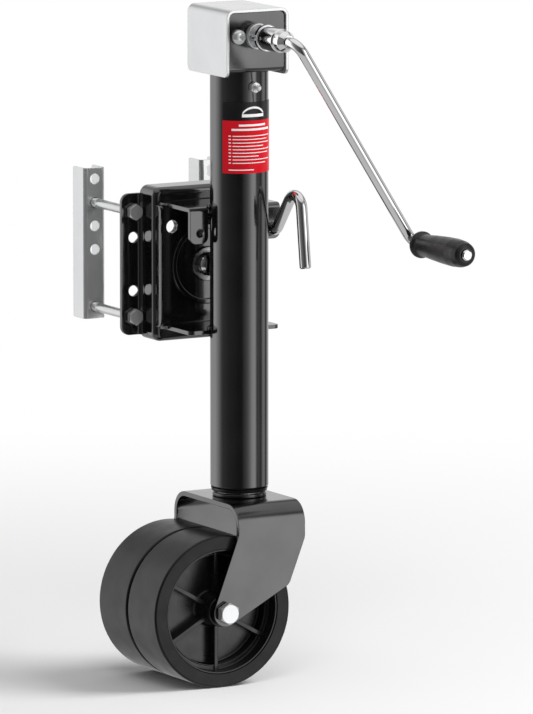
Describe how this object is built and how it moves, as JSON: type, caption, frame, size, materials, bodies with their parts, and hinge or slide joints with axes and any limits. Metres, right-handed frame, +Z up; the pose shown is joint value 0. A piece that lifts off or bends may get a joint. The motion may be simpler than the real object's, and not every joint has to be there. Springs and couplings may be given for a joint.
{
  "type": "trailer tongue jack",
  "caption": "Side-wind trailer tongue jack with a swivel clamp mount, sprung lock pin, screw-driven leg, twin-wheel caster and a removable crank.",
  "frame": {"origin": "centre of the four rail bolts, on the back plane of the mount bracket's flanges", "axes": "+X along the trailer rail, +Y from the jack into the rail, +Z up along the jack's tubes"},
  "size_m": [0.2649, 0.423, 0.66],
  "materials": {
    "black_paint": "gloss",
    "plated_steel": "satin",
    "zinc": "satin",
    "chrome": "gloss",
    "bare_steel": "satin",
    "bronze": "satin",
    "moulding": "matte",
    "tread": "matte",
    "grip_rubber": "matte",
    "label_film": "satin"
  },
  "bodies": {
    "mount": {"mount_bracket": "black_paint", "backing_channel_left": "zinc", "backing_channel_right": "zinc", "rail_bolt_upper_left": "zinc", "rail_bolt_upper_right": "zinc", "rail_bolt_lower_left": "zinc", "rail_bolt_lower_right": "zinc", "rail_nut_upper_left": "zinc", "rail_nut_upper_right": "zinc", "rail_nut_lower_left": "zinc", "rail_nut_lower_right": "zinc", "pivot_bolt": "chrome", "pivot_washer": "bare_steel", "pivot_nut": "zinc"},
    "jack": {"swivel_bracket": "black_paint", "outer_tube": "black_paint", "label_band": "label_film", "grease_fitting": "zinc", "guide_bush_lower": "moulding", "head_cover": "zinc", "gear_case": "plated_steel", "case_screw_left": "zinc", "case_screw_right": "zinc", "shaft_bush_front": "zinc", "shaft_bush_rear": "bronze", "thrust_bearing": "bare_steel", "pin_spring": "bare_steel"},
    "pin": {"pull_pin": "chrome", "pin_collar": "bare_steel"},
    "drive": {"drive_shaft": "chrome", "bevel_pinion": "bare_steel", "drive_pin": "bare_steel", "shaft_collar": "chrome"},
    "screw": {"lead_screw": "bare_steel", "bevel_gear": "bare_steel", "gear_pin": "bare_steel", "screw_collar": "bare_steel"},
    "leg": {"inner_tube": "bare_steel", "drive_nut": "bronze", "guide_ring_upper": "moulding", "kingpin": "bare_steel", "kingpin_nut": "zinc"},
    "caster": {"fork": "plated_steel", "swivel_washer": "plated_steel", "axle_bolt": "zinc", "axle_nut": "zinc", "wheel_spacer": "bare_steel"},
    "wheel_near": {"tyre_near": "tread", "wheel_core_near": "moulding", "wheel_sleeve_near": "bronze"},
    "wheel_far": {"tyre_far": "tread", "wheel_core_far": "moulding", "wheel_sleeve_far": "bronze"},
    "crank": {"crank_socket": "chrome", "crank_arm": "chrome"},
    "grip": {"crank_grip": "grip_rubber"}
  },
  "joints": [
    {"name": "jack_swing", "type": "hinge", "parent": "mount", "child": "jack", "pos_m": [0, -0.034, 0], "axis": [0, 1, 0], "continuous": true},
    {"name": "pin_pull", "type": "slide", "parent": "jack", "child": "pin", "axis": [0, -1, 0], "range_m": [-0.0095, 0.003], "stiffness_N_per_m": 500, "springref_m": -0.03, "deforming": ["pin_spring"]},
    {"name": "shaft_turn", "type": "hinge", "parent": "jack", "child": "drive", "pos_m": [0, -0.149, 0.2345], "axis": [0, 1, 0], "range_deg": [0, 30480]},
    {"name": "screw_turn", "type": "hinge", "parent": "jack", "child": "screw", "pos_m": [0, -0.099, 0.2], "axis": [0, 0, 1], "range_deg": [-15240, 0]},
    {"name": "leg_slide", "type": "slide", "parent": "jack", "child": "leg", "axis": [0, 0, -1], "range_m": [0, 0.254]},
    {"name": "caster_turn", "type": "hinge", "parent": "leg", "child": "caster", "pos_m": [0, -0.099, -0.221], "axis": [0, 0, 1], "continuous": true},
    {"name": "wheel_near_turn", "type": "hinge", "parent": "caster", "child": "wheel_near", "pos_m": [-0.051, -0.1282, -0.324], "axis": [0, 1, 0], "continuous": true},
    {"name": "wheel_far_turn", "type": "hinge", "parent": "caster", "child": "wheel_far", "pos_m": [-0.051, -0.0698, -0.324], "axis": [0, 1, 0], "continuous": true},
    {"name": "crank_pull", "type": "slide", "parent": "drive", "child": "crank", "axis": [0, -1, 0], "range_m": [0, 0.03]},
    {"name": "grip_spin", "type": "hinge", "parent": "crank", "child": "grip", "pos_m": [0.12506, -0.278, 0.03436], "axis": [0, 1, 0], "continuous": true}
  ],
  "couplings": [
    {"joint": "screw_turn", "follows": "shaft_turn", "ratio": -0.5},
    {"joint": "leg_slide", "follows": "shaft_turn", "m_per_rad": 0.00047746}
  ]
}
